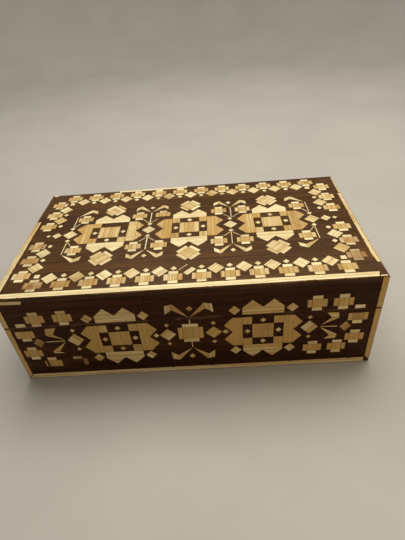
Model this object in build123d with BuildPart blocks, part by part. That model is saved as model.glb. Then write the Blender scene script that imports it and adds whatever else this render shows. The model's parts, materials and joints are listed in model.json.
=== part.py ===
# A straw-inlaid wooden box with a hinged lid.
#
# Millimetres. The origin is the middle of the underside, X runs to the right, Y to the back and
# Z up, so the front of the box looks along -Y.

from build123d import *
import os
from collections import defaultdict
from dataclasses import dataclass
from math import atan2, degrees, hypot

os.makedirs("parts", exist_ok=True)

FRONT, BACK, LEFT, RIGHT = -1, 1, -1, 1
STANDING = (Align.CENTER, Align.CENTER, Align.MIN)

# ---- Sizes of the wooden carcass ---------------------------------------------------------------

box_width = 250.0  # X, over the boards
box_depth = 142.0  # Y, over the boards
box_height = 78.0  # Z, over the lid's top panel
split_height = 52.2  # top of the base's rim
lid_gap = 0.3  # light between the two rims when the lid is shut
wall = 8.0  # thickness of every board and rail
top_thickness = 4.0
bottom_thickness = 4.0
corner_lap = 3.0  # what the rabbet leaves of a long board, over the end board's end
bottom_lap = 5.0  # how far the bottom panel reaches under the boards
eased_edge = 0.4  # the broken outer edges; the rims are left sharp from the saw

brad_radius = 0.6
brad_length = 14.0
brad_head_radius = 1.0
brad_head_height = 0.5
brad_inset = 12.0  # from the end of the panel to the first brad
brad_clearance = 0.05
long_side_brads = 4
short_side_brads = 2

# ---- Sizes of the two butt hinges --------------------------------------------------------------

hinge_spacing = 182.0  # between the middles of the two hinges
leaf_length = 20.0
leaf_width = 6.4  # how far a leaf reaches in over the rim
leaf_thickness = 0.9
knuckle_radius = 1.5
knuckle_gap = 0.15  # between neighbouring knuckles, end to end
knuckle_relief = 0.25  # between a knuckle and the other leaf's plate
knuckle_standoff = 0.3  # between a knuckle and the straw on the back
pin_radius = 0.7
pin_clearance = 0.05  # running fit of the knuckles on the pin
pin_head_radius = 1.1
pin_head_height = 0.5
leaf_play = 0.1  # a mortise is this much larger than its leaf at each end and behind it

screw_radius = 0.75
screw_head_radius = 1.4
screw_length = 6.0
screw_point = 1.5  # length of the tapered point
screw_slot = 0.4  # width and depth of the driver slot
screw_spacing = 12.0
screw_clearance = 0.05

# ---- Sizes of the straw ------------------------------------------------------------------------

straw_thickness = 0.3
straw_joint = 0.12  # the hairline left between two pieces

# ---- Places that follow from the sizes ---------------------------------------------------------

front_face = -box_depth / 2
back_face = box_depth / 2
rail_bottom = split_height + lid_gap
rail_top = box_height - top_thickness
end_board_length = box_depth - 2 * corner_lap
panel_width = box_width - 2 * (wall - bottom_lap)
panel_depth = box_depth - 2 * (wall - bottom_lap)

hinge_y = back_face + straw_thickness + knuckle_standoff + knuckle_radius
hinge_z = split_height + lid_gap / 2
hinge_places = {"left": -hinge_spacing / 2, "right": hinge_spacing / 2}
knuckle_length = (leaf_length - 2 * knuckle_gap) / 3
knuckle_step = knuckle_length + knuckle_gap
screw_y = back_face - leaf_width / 2

screw_xs = [x + side * screw_spacing / 2 for x in hinge_places.values() for side in (LEFT, RIGHT)]


def brad_rows():
    """Places of the brads, along the middle of the lap that the bottom panel makes."""
    across = panel_width - bottom_lap
    along = panel_depth - bottom_lap
    long_step = (panel_width - 2 * brad_inset) / (long_side_brads - 1)
    short_step = (panel_depth - 4 * brad_inset) / (short_side_brads - 1)
    long_rows = GridLocations(long_step, along, long_side_brads, 2).locations
    short_rows = GridLocations(across, short_step, 2, short_side_brads).locations
    return long_rows + short_rows


brad_places = brad_rows()


def write(piece, name):
    """Label a finished piece and write it to its own file."""
    piece.part.label = name
    export_step(piece.part, f"parts/{name}.step")


# ---- Boards, rails and panels ------------------------------------------------------------------


def long_board(side, low, high):
    """A front or back board, with a rabbet at each end for the end boards."""
    with BuildPart() as board:
        with BuildSketch(Plane.XY.offset(low)):
            with Locations((0, side * (box_depth - wall) / 2)):
                Rectangle(box_width, wall)
            rabbet = wall - corner_lap
            rabbet_y = side * (box_depth / 2 - corner_lap - rabbet / 2)
            with Locations((-(box_width - wall) / 2, rabbet_y), ((box_width - wall) / 2, rabbet_y)):
                Rectangle(wall, rabbet, mode=Mode.SUBTRACT)
        extrude(amount=high - low)
        outer_face = board.faces().sort_by(Axis.Y)[0 if side == FRONT else -1]
        eased = outer_face.edges().filter_by(Axis.Z)
        if low == 0:
            eased.append(outer_face.edges().sort_by(Axis.Z)[0])
        chamfer(eased, eased_edge)
    return board.part


def end_board(side, low, high):
    """A left or right board, whose ends stand in the long boards' rabbets."""
    with BuildPart() as board:
        with BuildSketch(Plane.XY.offset(low)):
            with Locations((side * (box_width - wall) / 2, 0)):
                Rectangle(wall, end_board_length)
        extrude(amount=high - low)
        outer_face = board.faces().sort_by(Axis.X)[0 if side == LEFT else -1]
        if low == 0:
            chamfer(outer_face.edges().sort_by(Axis.Z)[0], eased_edge)
    return board.part


def cut_mortises(rim, into):
    """Let the hinge leaves and their screws into a rim: into is -1 downward or 1 upward."""
    mortise_depth = leaf_width + leaf_play
    with Locations(*[(x, back_face - mortise_depth / 2, rim) for x in hinge_places.values()]):
        Box(leaf_length + 2 * leaf_play, mortise_depth, 2 * leaf_thickness, mode=Mode.SUBTRACT)
    hole_depth = screw_length + screw_clearance
    with Locations(*[(x, screw_y, rim + into * hole_depth / 2) for x in screw_xs]):
        Cylinder(screw_radius + screw_clearance, hole_depth, mode=Mode.SUBTRACT)


base_boards = {
    "base_front_board": long_board(FRONT, 0, split_height),
    "base_back_board": long_board(BACK, 0, split_height),
    "base_left_board": end_board(LEFT, 0, split_height),
    "base_right_board": end_board(RIGHT, 0, split_height),
}
for name, blank in base_boards.items():
    with BuildPart() as base_board:
        add(blank)
        Box(panel_width, panel_depth, bottom_thickness, align=STANDING, mode=Mode.SUBTRACT)
        with Locations(*brad_places):
            Cylinder(
                brad_radius + brad_clearance,
                brad_length + brad_clearance,
                align=STANDING,
                mode=Mode.SUBTRACT,
            )
        if name == "base_back_board":
            cut_mortises(split_height, -1)
    write(base_board, name)

lid_rails = {
    "lid_front_rail": long_board(FRONT, rail_bottom, rail_top),
    "lid_back_rail": long_board(BACK, rail_bottom, rail_top),
    "lid_left_rail": end_board(LEFT, rail_bottom, rail_top),
    "lid_right_rail": end_board(RIGHT, rail_bottom, rail_top),
}
for name, blank in lid_rails.items():
    with BuildPart() as lid_rail:
        add(blank)
        if name == "lid_back_rail":
            cut_mortises(rail_bottom, 1)
    write(lid_rail, name)

with BuildPart() as lid_top_panel:
    with BuildSketch(Plane.XY.offset(rail_top)):
        Rectangle(box_width, box_depth)
    extrude(amount=top_thickness)
    upper_edges = lid_top_panel.faces().sort_by(Axis.Z)[-1].edges()
    chamfer(upper_edges + lid_top_panel.edges().filter_by(Axis.Z), eased_edge)
write(lid_top_panel, "lid_top_panel")

with BuildPart() as bottom_panel:
    Box(panel_width, panel_depth, bottom_thickness, align=STANDING)
    with Locations(*brad_places):
        Cylinder(
            brad_radius + brad_clearance, bottom_thickness, align=STANDING, mode=Mode.SUBTRACT
        )
        Cylinder(
            brad_head_radius + brad_clearance,
            brad_head_height,
            align=STANDING,
            mode=Mode.SUBTRACT,
        )
write(bottom_panel, "bottom_panel")

with BuildPart() as bottom_brads:
    with Locations(*brad_places):
        Cylinder(brad_radius, brad_length, align=STANDING)
        Cylinder(brad_head_radius, brad_head_height, align=STANDING)
write(bottom_brads, "bottom_brads")

# ---- Hinges ------------------------------------------------------------------------------------


def hinge_leaf(x, rim, into, own_knuckles, other_knuckles):
    """One leaf, let into a rim and rolled round the pin at its own knuckles."""
    with BuildPart() as leaf:
        plate_width = hinge_y - (back_face - leaf_width)
        with Locations((x, hinge_y - plate_width / 2, rim + into * leaf_thickness / 2)):
            Box(leaf_length, plate_width, leaf_thickness)
        with Locations(*[(x + along, hinge_y, hinge_z) for along in other_knuckles]):
            Cylinder(
                knuckle_radius + knuckle_relief,
                knuckle_length + 2 * knuckle_gap,
                rotation=(0, 90, 0),
                mode=Mode.SUBTRACT,
            )
        with Locations(*[(x + along, hinge_y, hinge_z) for along in own_knuckles]):
            Cylinder(knuckle_radius, knuckle_length, rotation=(0, 90, 0))
        with Locations((x, hinge_y, hinge_z)):
            Cylinder(
                pin_radius + pin_clearance, 2 * leaf_length, rotation=(0, 90, 0), mode=Mode.SUBTRACT
            )
        tilt = 0 if into == -1 else 180
        ends = [x + side * screw_spacing / 2 for side in (LEFT, RIGHT)]
        with Locations(*[Location((end, screw_y, rim), (tilt, 0, 0)) for end in ends]):
            CounterSinkHole(
                screw_radius + screw_clearance,
                screw_head_radius + screw_clearance,
                depth=leaf_thickness,
                counter_sink_angle=90,
            )
    return leaf


outer_knuckles = [-knuckle_step, knuckle_step]
middle_knuckle = [0.0]

for side, x in hinge_places.items():
    base_leaf = hinge_leaf(x, split_height, -1, outer_knuckles, middle_knuckle)
    write(base_leaf, f"hinge_{side}_base_leaf")

    lid_leaf = hinge_leaf(x, rail_bottom, 1, middle_knuckle, outer_knuckles)
    write(lid_leaf, f"hinge_{side}_lid_leaf")

    with BuildPart() as hinge_pin:
        with Locations((x, hinge_y, hinge_z)):
            Cylinder(pin_radius, leaf_length, rotation=(0, 90, 0))
        head_step = (leaf_length + pin_head_height) / 2
        with Locations((x - head_step, hinge_y, hinge_z), (x + head_step, hinge_y, hinge_z)):
            Cylinder(pin_head_radius, pin_head_height, rotation=(0, 90, 0))
    write(hinge_pin, f"hinge_{side}_pin")

with BuildPart() as screw:
    with BuildSketch(Plane.XZ):
        with BuildLine():
            Polyline(
                (0, 0),
                (screw_head_radius, 0),
                (screw_radius, screw_radius - screw_head_radius),
                (screw_radius, screw_point - screw_length),
                (0, -screw_length),
                close=True,
            )
        make_face()
    revolve(axis=Axis.Z)
    Box(3 * screw_head_radius, screw_slot, 2 * screw_slot, mode=Mode.SUBTRACT)

with BuildPart() as hinge_base_screws:
    with Locations(*[(x, screw_y, split_height) for x in screw_xs]):
        add(screw.part)
write(hinge_base_screws, "hinge_base_screws")

with BuildPart() as hinge_lid_screws:
    with Locations(*[Location((x, screw_y, rail_bottom), (180, 0, 0)) for x in screw_xs]):
        add(screw.part)
write(hinge_lid_screws, "hinge_lid_screws")

# ---- Straw: faces and outlines -----------------------------------------------------------------

# The pattern is drawn on faces of these sizes, and fitted to the real ones. A wall's drawing has
# its level 0 at the split between the base and the lid; the top's is measured from its middle.
drawn_width = 250.0
drawn_depth = 142.0
drawn_lid_height = 25.65
drawn_base_height = 52.35


@dataclass
class Face:
    """A face that carries straw: its plane, and how its drawing is fitted to it."""

    plane: Plane
    fit_across: float
    fit_above: float
    fit_below: float
    group_above: str
    group_below: str


def wall_face(out, across, run, drawn_run):
    """An upright face, looked at from outside: out is its direction, across is to the right."""
    reach = box_depth / 2 if out[1] else box_width / 2
    return Face(
        plane=Plane(origin=(out[0] * reach, out[1] * reach, hinge_z), x_dir=across, z_dir=out),
        fit_across=run / drawn_run,
        fit_above=(box_height - hinge_z) / drawn_lid_height,
        fit_below=hinge_z / drawn_base_height,
        group_above="lid_wall",
        group_below="base_wall",
    )


faces = {
    "top": Face(
        plane=Plane.XY.offset(box_height),
        fit_across=box_width / drawn_width,
        fit_above=box_depth / drawn_depth,
        fit_below=box_depth / drawn_depth,
        group_above="lid_top",
        group_below="lid_top",
    ),
    "front": wall_face((0, -1, 0), (1, 0, 0), box_width, drawn_width),
    "back": wall_face((0, 1, 0), (-1, 0, 0), box_width, drawn_width),
    "left": wall_face((-1, 0, 0), (0, -1, 0), box_depth, drawn_depth),
    "right": wall_face((1, 0, 0), (0, 1, 0), box_depth, drawn_depth),
}

laid = defaultdict(lambda: defaultdict(list))  # outlines, by node and by face


def lay(face_name, kind, at, outline, turn=0.0, flip=1):
    """Lay one piece of straw: an outline about its own origin, flipped in X, turned and set down."""
    face = faces[face_name]
    corners = [
        Vector(*at) + Vector(flip * x, y).rotate(Axis.Z, turn) for x, y in outline
    ]
    is_above = sum(corner.Y for corner in corners) > 0
    group = face.group_above if is_above else face.group_below
    fit_up = face.fit_above if is_above else face.fit_below
    fitted = [(corner.X * face.fit_across, corner.Y * fit_up) for corner in corners]
    laid[f"{group}_{kind}"][face_name].append(fitted)


def moved(outline, dx, dy):
    return [(x + dx, y + dy) for x, y in outline]


def block(width, height):
    x, y = width / 2, height / 2
    return [(-x, -y), (x, -y), (x, y), (-x, y)]


def diamond(half_width, half_height):
    return [(-half_width, 0), (0, -half_height), (half_width, 0), (0, half_height)]


def two_peaks(width, depth, peak):
    """A bar with two pointed peaks on its upper side, standing on the origin."""
    return [
        (-width / 2, 0),
        (width / 2, 0),
        (width / 2, depth),
        (width / 4, depth + peak),
        (0, depth),
        (-width / 4, depth + peak),
        (-width / 2, depth),
    ]


# ---- Straw: the motifs -------------------------------------------------------------------------

bead_half = 2.2
stem_width = 0.9
crown_depth = 6.1
crown_peak = 6.4
wing_depth = 6.8
wing_peak = 5.8


def line(face, start, end, width=stem_width):
    """A thin straw from one place to another."""
    run_x, run_y = end[0] - start[0], end[1] - start[1]
    middle = (start[0] + run_x / 2, start[1] + run_y / 2)
    lay(face, "stems", middle, block(hypot(run_x, run_y), width), degrees(atan2(run_y, run_x)))


def bead(face, at, half=bead_half):
    lay(face, "beads", at, diamond(half, half))


def cross(face, at, body, ear, lost=()):
    """A square with an ear on each side. The names in lost are ears that have fallen off."""
    reach = (body + ear) / 2
    if "body" not in lost:
        lay(face, "cross_bodies", at, block(body, body))
    for side, name in ((LEFT, "left"), (RIGHT, "right")):
        if name not in lost:
            lay(face, "cross_side_ears", at, moved(block(ear, body), side * reach, 0))
    for side, name in ((-1, "lower"), (1, "upper")):
        if name not in lost:
            lay(face, "cross_end_ears", at, moved(block(body, ear), 0, side * reach))


def stepped_diamond(face, at):
    """A cross that stands on its corner."""
    body, ear = 9.4, 3.0
    lay(face, "stepped_diamond_bodies", at, block(body, body), turn=45)
    for quarter in range(4):
        ear_outline = moved(block(ear, body), (body + ear) / 2, 0)
        lay(face, "stepped_diamond_ears", at, ear_outline, turn=45 + 90 * quarter)


def leaf(face, at, spread, rise, turn=0.0, flip=1, tip_share=0.63, corner_share=0.9):
    """A blade from a point, and a hook folded back from its tip.

    Spread is the reach to the side and rise the reach ahead. Tip_share is how far to the side the
    tip stands, and corner_share how far ahead the hook's corner does.
    """
    tip = (tip_share * spread, rise)
    elbow = ((tip_share + 0.06) * spread, 0.59 * rise)
    corner = (0.97 * spread, corner_share * rise)
    heel = (spread, 0.3 * rise)
    lay(face, "leaf_blades", at, [(0, 0), elbow, tip], turn, flip)
    lay(face, "leaf_hooks", at, [tip, elbow, heel, corner], turn, flip)


def medallion(face, at, core, square, crown_lift=0.0, lost=()):
    """A centre square, four corner blocks, a crown above and below and a wing at each side.

    Crown_lift raises the upper crown across the split; lost names what has fallen off.
    """
    core_width, core_height = core
    square_width, square_height = square
    block_width = (core_width - square_width) / 2
    block_height = (core_height - square_height) / 2
    block_x = (square_width + block_width) / 2
    block_y = (square_height + block_height) / 2
    lay(face, "medallion_squares", at, block(square_width, square_height))
    for side_x in (LEFT, RIGHT):
        for side_y, level in ((-1, "lower"), (1, "upper")):
            if (side_x, level) not in lost:
                corner_block = moved(
                    block(block_width, block_height), side_x * block_x, side_y * block_y
                )
                lay(face, "medallion_blocks", at, corner_block)
    gaps = {
        "left": (-block_x, 0),
        "right": (block_x, 0),
        "lower": (0, -block_y),
        "upper": (0, block_y),
    }
    for gap_name, (gap_x, gap_y) in gaps.items():
        if gap_name not in lost:
            bead(face, (at[0] + gap_x, at[1] + gap_y))
    crown = moved(two_peaks(core_width, crown_depth, crown_peak), 0, core_height / 2)
    wing = moved(two_peaks(core_height, wing_depth, wing_peak), 0, core_width / 2)
    lay(face, "crowns", (at[0], at[1] + crown_lift), crown)
    lay(face, "crowns", at, crown, turn=180)
    lay(face, "wings", at, wing, turn=90)
    lay(face, "wings", at, wing, turn=-90)


# ---- Straw: the top ----------------------------------------------------------------------------

top_shift = (1.1, 1.2)  # the whole pattern sits this far off the middle of the lid
row_crosses = 12
row_y = 60.1
row_pitches = {FRONT: (18.5, 18.5), BACK: (18.7, 18.0)}  # of each row's left and right halves
column_x = 112.0
column_shift = -1.2  # both columns stand this far to one side of the rest
column_lifts = {LEFT: 0.0, RIGHT: 1.1}
column_levels = (14.2, 31.9, 49.4)
border_body = 6.5
border_ear = 3.0
border_diamond = 5.8
border_bead = 2.35
diamond_inset = 6.9  # from a row of crosses to its diamonds
bead_inset = 9.2  # from a row of crosses to its beads
medallion_xs = (-61.8, 0.0, 62.3)
medallion_cores = ((27.8, 27.7), (26.8, 27.7), (26.6, 27.7))
medallion_squares = ((15.8, 15.0), (15.0, 14.4), (14.9, 13.8))
sprig_x = 31.15
half_sprig_x = 92.1
sprig_body = 6.2
sprig_ear = 2.9
sprig_bead_y = 8.5
sprig_cross_y = 21.8
stem_end = 26.4


def on_top(x, y):
    """A place on the top, from the middle of the pattern."""
    return (x + top_shift[0], y + top_shift[1])


def row_place(side, steps, inset):
    """A place in the front or back row, counted in steps from its middle."""
    left_pitch, right_pitch = row_pitches[side]
    pitch = left_pitch if steps < 0 else right_pitch
    return on_top(pitch * steps, side * (row_y - inset))


def border_rows():
    """The rows of crosses, diamonds and beads along the front and back edges."""
    last = row_crosses - 1
    for side in (FRONT, BACK):
        for number in range(row_crosses):
            steps = number - last / 2
            cross("top", row_place(side, steps, 0), border_body, border_ear)
            if number in (0, last):
                lay("top", "beads", row_place(side, steps, bead_inset + 0.4), block(3.9, 3.9))
            else:
                bead("top", row_place(side, steps, bead_inset), border_bead)
        for number in range(last):
            steps = number - (last - 1) / 2
            is_broken = side == FRONT and steps == 0
            if not is_broken:
                shape = diamond(border_diamond, border_diamond)
                lay("top", "diamonds", row_place(side, steps, diamond_inset), shape)


def broken_diamond():
    """The middle diamond of the front row: one half of it, and a splinter of the other."""
    middle = row_place(FRONT, 0, diamond_inset)
    edge = border_diamond * 2**0.5
    half = moved(block(edge, edge / 2), 0, -edge / 4)
    splinter = moved(block(edge, 0.8), 0, edge / 2 + 0.2)
    lay("top", "diamonds", middle, half, turn=45)
    lay("top", "stems", middle, splinter, turn=45)


def border_columns():
    """The columns of crosses, diamonds and beads along the left and right edges."""
    for side in (LEFT, RIGHT):
        x, lift = side * column_x + column_shift, column_lifts[side]
        for end in (FRONT, BACK):
            for level in column_levels:
                cross("top", on_top(x, end * level + lift), border_body, border_ear)
            for lower, upper in zip(column_levels, column_levels[1:]):
                place = on_top(x - side * (diamond_inset + 0.3), end * (lower + upper) / 2 + lift)
                lay("top", "diamonds", place, diamond(border_diamond, border_diamond))
                bead("top", on_top(x - side * (bead_inset + 0.4), end * lower + lift))


def sprig(x, centre_half, branch_sides, cross_x, spread, rises, lean=0.0):
    """A stem up and down from a diamond, with a cross and a leaf on each branch.

    Lean is how far the far half of it stands to the side; rises are the near and far leaves'.
    """
    lay("top", "diamonds", on_top(x, 0), diamond(centre_half, centre_half))
    for end, shift, rise in ((FRONT, 0.0, rises[0]), (BACK, lean, rises[1])):
        stem_x = x + shift
        stem_start = sprig_bead_y + bead_half
        bead("top", on_top(x, end * sprig_bead_y), 2.1)
        line("top", on_top(stem_x, end * stem_start), on_top(stem_x, end * stem_end))
        for side in branch_sides:
            is_worn = x < 0 and side == RIGHT and end == BACK and len(branch_sides) == 2
            lost = ("lower",) if is_worn else ()
            place = on_top(stem_x + side * cross_x, end * sprig_cross_y)
            cross("top", place, sprig_body, sprig_ear, lost)
            corner_x = stem_x + side * (cross_x - sprig_body / 2 - 0.4)
            corner_y = end * (sprig_cross_y - sprig_body / 2 - sprig_ear)
            start = on_top(stem_x + side * stem_width, end * stem_start)
            line("top", start, on_top(corner_x, corner_y), 0.8)
            turn, flip = (0, side) if end == BACK else (180, -side)
            leaf("top", on_top(stem_x, end * stem_end), spread, rise, turn, flip, corner_share=0.75)


def top_field():
    """The medallions, the stepped diamonds and the sprigs between the borders."""
    for x, core, square in zip(medallion_xs, medallion_cores, medallion_squares):
        lost = ((RIGHT, "upper"), "upper") if x == medallion_xs[0] else ()
        medallion("top", on_top(x, 0), core, square, lost=lost)
        for end in (FRONT, BACK):
            stepped_diamond("top", on_top(x, end * 33.7))
    for side, lean in ((LEFT, 0.0), (RIGHT, 1.2)):
        sprig(side * sprig_x, 5.3, (LEFT, RIGHT), 9.4, 13.4, (11.2, 11.4), lean)
        for end in (FRONT, BACK):
            bead("top", on_top(side * sprig_x, end * 34))
        x = side * half_sprig_x
        sprig(x, 5.8, (-side,), 7.6, 15.6, (10.6, 11.0))
        lay("top", "diamonds", on_top(x + side * 10.3, 0), diamond(4.0, 4.0))
        bead("top", on_top(x + side * 17, 0), 2.0)


def top_edging():
    """What is left of the strips along the lid's upper edges."""
    outer_x, left_x, right_x = 124.5, -120.3, 121.2
    outer_y, inner_y = 70.5, 65.8
    strips = [
        # The front strip stops short of the right corner, where a splinter of it is left.
        [(-outer_x, -outer_y), (118.7, -outer_y), (120.3, -inner_y), (-outer_x, -inner_y)],
        [(119.3, -outer_y), (123.9, -outer_y), (123.9, -69.5), (119.7, -69.3)],
        # The left strip's far end is gone.
        [(-outer_x, -65.6), (left_x, -65.6), (left_x - 0.6, 24.5), (-outer_x, 23.5)],
        # The right strip has split off along its near end, and its far end is a thin sliver.
        [(outer_x, -56.4), (outer_x, 38), (right_x + 0.6, 38.6), (right_x, -47), (122.2, -56.4)],
        [(123.1, 39.4), (outer_x, 39.2), (outer_x, 68.2), (123.4, 67.4)],
        # The back strip is a short run, with a chip left at the corner.
        [(-62.7, 67.9), (-2.7, 67.9), (-2.1, 70.7), (-63.4, 70.7)],
        [(-122.6, 68.4), (-119.0, 69.4), (-119.4, 70.6), (-123.0, 70.5)],
    ]
    for strip in strips:
        lay("top", "edging", (0, 0), strip)


border_rows()
broken_diamond()
border_columns()
top_field()
top_edging()

# ---- Straw: the walls --------------------------------------------------------------------------

wall_body = 6.6
wall_ear = 3.1
wall_medallion_level = -15.0
wall_core = (27.2, 26.6)
wall_square = (14.4, 13.2)
upper_crown_lift = 2.4  # the upper crown stands on the lid, clear of the split
front_medallion_x = 48.6
end_level = -14.1  # of the end groups' diamonds
lid_cross_level = 7.1
upright_width = 3.5
foot_width = 4.2
strip_setback = 0.5  # from the strips to the box's edges
foot_level = 0.3 - drawn_base_height


@dataclass
class WallEnd:
    """How one end of a wall is set out.

    Reach is how far the outermost cross stands from its medallion, low_level is the level of the
    lowest crosses, tip_shares are the lower and upper leaf's, and lost names what is not there.
    """

    reach: float
    low_level: float = -35.8
    tip_shares: tuple = (0.64, 0.55)
    lost: str = ""


def wall_medallion(face, x):
    """A medallion across the split, with a small diamond at each of its corners."""
    medallion(face, (x, wall_medallion_level), wall_core, wall_square, upper_crown_lift)
    for side in (LEFT, RIGHT):
        for level in (5.0, -33.2):
            lay(face, "diamonds", (x + side * 18.7, level), diamond(4.0, 4.1))


def end_group(face, x, outward, end):
    """What stands between a medallion at x and the end of a wall."""
    diamond_x = x + outward * 30.8
    lay(face, "diamonds", (diamond_x, end_level), diamond(5.9, 6.2))
    for side in (-1, 1):
        bead(face, (diamond_x, end_level + side * 9.1), 1.8)

    apex_x = x + outward * 37.6
    outer_diamond_x = x + outward * (end.reach - 7.2)
    lay(face, "diamonds", (outer_diamond_x, end_level - 1.0), diamond(4.0, 4.8))
    line_start = (apex_x + outward, end_level - 0.3)
    line(face, line_start, (outer_diamond_x - outward * 5.2, end_level - 0.6), 1.0)
    for side, tip_share in zip((-1, 1), end.tip_shares):
        apex = (apex_x, end_level + side * 0.5)
        turn, flip = -90 * outward, -outward * side
        leaf(face, apex, 12.0, 12.4, turn, flip, tip_share, corner_share=0.94)

    near_x, far_x, last_x = (x + outward * out for out in (34.4, end.reach - 11, end.reach))
    for cross_x in (near_x, far_x):
        if end.lost != "lid crosses":
            cross(face, (cross_x, lid_cross_level), wall_body, wall_ear)
    cross(face, (last_x, -6.6), wall_body, wall_ear, lost=("upper",))
    lay(face, "cross_end_ears", (last_x, 2.2), block(wall_body, wall_ear))
    cross(face, (last_x, -25.4), wall_body, wall_ear)
    is_worn = end.lost == "low pieces"
    far_lost = ("lower", "left") if is_worn else ()
    near_lost = ("body", "left", "lower") if is_worn else ()
    cross(face, (far_x, end.low_level), wall_body, wall_ear, far_lost)
    cross(face, (near_x, end.low_level), wall_body, wall_ear, near_lost)
    if is_worn:
        splinter_x = far_x - wall_body / 2 - 2.2
        lay(face, "cross_side_ears", (splinter_x, end.low_level), block(1.3, wall_body))


def centre_group(face):
    """A large cross between two diamonds, with a stem and two leaves above and below."""
    level = -13.5
    cross(face, (0, level), 10.8, 3.2)
    line(face, (0, -4.9), (0, -0.9))
    line(face, (0, -22.1), (0, -27.6))
    for side, upper_spread in ((LEFT, 15.6), (RIGHT, 16.4)):
        leaf(face, (0, 0.8), upper_spread, 12.7, 0, side)
        leaf(face, (0, -27.8), 15.6, 12.5, 180, side)
        lay(face, "diamonds", (side * 15.6, level - 0.6), diamond(5.7, 5.7))
        bead(face, (side * 15.6, level + 8.3), 1.8)
        bead(face, (side * 15.6, level - 9.5), 1.8)
        bead(face, (side * 23.6, level - 0.6))
    bead(face, (0.9, 8.9), 2.4)
    bead(face, (-0.9, -36.8), 2.4)


def upright_strip(face, side, half_run, foot, top):
    """The strip up one end of a wall, cut off at the split."""
    outer = half_run - strip_setback
    inner = outer - upright_width
    base_strip = [(outer, foot), (outer, -0.6), (inner, -0.6), (inner, foot + upright_width)]
    lay(face, "edging", (0, 0), base_strip, flip=side)
    lid_strip = [(inner, 0.6), (outer, 0.6), (outer, top), (inner, top)]
    lay(face, "edging", (0, 0), lid_strip, flip=side)


def foot_strip(face, left_x, right_x, right_mitre):
    """The strip along the foot of a wall, mitred at its left end and where asked at its right."""
    head_level = foot_level + foot_width
    outline = [
        (left_x, foot_level),
        (right_x, foot_level),
        (right_x - right_mitre, head_level),
        (left_x + foot_width, head_level),
    ]
    lay(face, "edging", (0, 0), outline)


lid_strip_top = drawn_lid_height - strip_setback
wall_ends = {
    "front": (WallEnd(64.0, -36.9, (0.8, 0.42), "low pieces"), WallEnd(62.0, -34.6)),
    "back": (WallEnd(63.0, lost="lid crosses"), WallEnd(63.0, lost="lid crosses")),
    "left": (WallEnd(58.6), WallEnd(58.6)),
    "right": (WallEnd(58.6), WallEnd(58.6)),
}
for wall_name, ends in wall_ends.items():
    is_long = wall_name in ("front", "back")
    half_run = (drawn_width if is_long else drawn_depth) / 2
    medallion_x = front_medallion_x if is_long else 0.0
    if is_long:
        centre_group(wall_name)
        wall_medallion(wall_name, -medallion_x)
    wall_medallion(wall_name, medallion_x)
    for side, end in zip((LEFT, RIGHT), ends):
        end_group(wall_name, side * medallion_x, side, end)
    strip_end = half_run - strip_setback
    if wall_name == "front":
        # The foot strip stops at the right upright, and a stub of a top strip is left at the left.
        foot_strip(wall_name, -strip_end, strip_end - upright_width - 0.2, 0)
        upright_strip(wall_name, RIGHT, half_run, foot_level + 2.2, lid_strip_top)
        upright_strip(wall_name, LEFT, half_run, foot_level + 0.3, 20.4)
        stub = [(-strip_end, 21.3), (-105.6, 20.9), (-104.6, 23.6), (-strip_end, 24.4)]
        lay(wall_name, "edging", (0, 0), stub)
    else:
        foot_strip(wall_name, -strip_end, strip_end, foot_width)
        for side in (LEFT, RIGHT):
            upright_strip(wall_name, side, half_run, foot_level + 1.0, lid_strip_top)

# ---- Straw: the solids -------------------------------------------------------------------------

for node, outlines_by_face in laid.items():
    with BuildPart() as straw:
        for face_name, outlines in outlines_by_face.items():
            with BuildSketch(faces[face_name].plane):
                for outline in outlines:
                    with BuildLine():
                        Polyline(*outline, close=True)
                    make_face()
                offset(amount=-straw_joint / 2, kind=Kind.INTERSECTION, mode=Mode.REPLACE)
            extrude(amount=straw_thickness)
    write(straw, node)
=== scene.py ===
"""A straw-inlaid wooden box: the straw, wood, hinges and stage around its packed model."""

import json
import math
import random
from collections import namedtuple

import bmesh
import bpy
from bpy.props import FloatProperty, FloatVectorProperty, IntProperty, PointerProperty
from mathutils import Euler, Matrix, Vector, noise

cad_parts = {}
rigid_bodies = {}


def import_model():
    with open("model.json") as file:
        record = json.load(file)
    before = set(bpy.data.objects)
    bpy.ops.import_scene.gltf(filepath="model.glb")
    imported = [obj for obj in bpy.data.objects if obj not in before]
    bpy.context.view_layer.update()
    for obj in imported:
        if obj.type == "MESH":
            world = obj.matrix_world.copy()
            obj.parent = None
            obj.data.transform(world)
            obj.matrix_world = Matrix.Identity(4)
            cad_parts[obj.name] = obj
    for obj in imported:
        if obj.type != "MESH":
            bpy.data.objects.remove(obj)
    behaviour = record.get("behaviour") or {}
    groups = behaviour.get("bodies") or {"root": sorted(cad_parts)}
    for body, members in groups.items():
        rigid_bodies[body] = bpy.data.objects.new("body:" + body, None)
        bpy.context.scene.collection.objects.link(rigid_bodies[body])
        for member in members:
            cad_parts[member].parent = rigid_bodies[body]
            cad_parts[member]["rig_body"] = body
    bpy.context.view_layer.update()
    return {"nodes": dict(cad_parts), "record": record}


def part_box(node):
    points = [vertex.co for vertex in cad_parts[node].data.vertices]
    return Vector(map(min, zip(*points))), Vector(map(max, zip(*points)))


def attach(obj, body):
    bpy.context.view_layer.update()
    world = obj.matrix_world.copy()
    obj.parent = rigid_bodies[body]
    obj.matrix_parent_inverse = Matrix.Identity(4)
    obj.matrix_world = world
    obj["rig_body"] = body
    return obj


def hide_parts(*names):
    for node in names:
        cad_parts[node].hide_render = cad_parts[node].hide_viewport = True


bl_info = {
    "name": "Straw-inlaid box",
    "version": (1, 0, 0),
    "blender": (4, 5, 0),
    "location": "View3D > Sidebar > Inlaid box",
    "description": "Lays the straw, stains the wood and finishes the metal of a hinged box",
    "category": "Add Mesh",
}

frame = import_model()

MM = 0.001
UP = Vector((0, 0, 1))

# ---- The box as it was packed ------------------------------------------------------------------


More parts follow.
